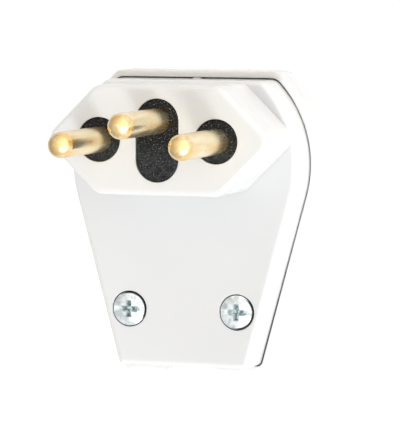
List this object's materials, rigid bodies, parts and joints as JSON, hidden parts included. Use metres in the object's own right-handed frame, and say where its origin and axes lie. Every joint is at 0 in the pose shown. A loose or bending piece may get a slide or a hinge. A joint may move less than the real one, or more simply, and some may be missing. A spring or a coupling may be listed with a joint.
{
  "type": "three-pin mains plug",
  "caption": "White right-angle rewireable mains plug: hexagonal nose with round brass pins in a black pin carrier, flat-backed screwed housing, cord inlet at the lower end.",
  "frame": {"origin": "on the flat back of the rear cover, under the midpoint between the line and neutral pins", "axes": "+Z out of the flat back along the pins, +X across the pins from neutral to line, +Y away from the cord inlet; lies on its flat back at rest"},
  "size_m": [0.0398, 0.0485, 0.0483],
  "materials": {
    "white_housing": "glossy white moulded plastic",
    "black_insulator": "black moulded plastic",
    "pin_brass": "polished turned brass",
    "zinc_screw": "bright zinc plating",
    "clamp_plastic": "natural white moulded plastic"
  },
  "bodies": {
    "root": {"front_cover": "white_housing", "rear_cover": "white_housing", "pin_carrier": "black_insulator", "pin_retainer": "black_insulator", "line_pin": "pin_brass", "neutral_pin": "pin_brass", "earth_pin": "pin_brass", "terminal_screws": "zinc_screw", "cord_clamp": "clamp_plastic", "cord_clamp_screws": "zinc_screw", "cover_screws": "zinc_screw"}
  },
  "joints": []
}
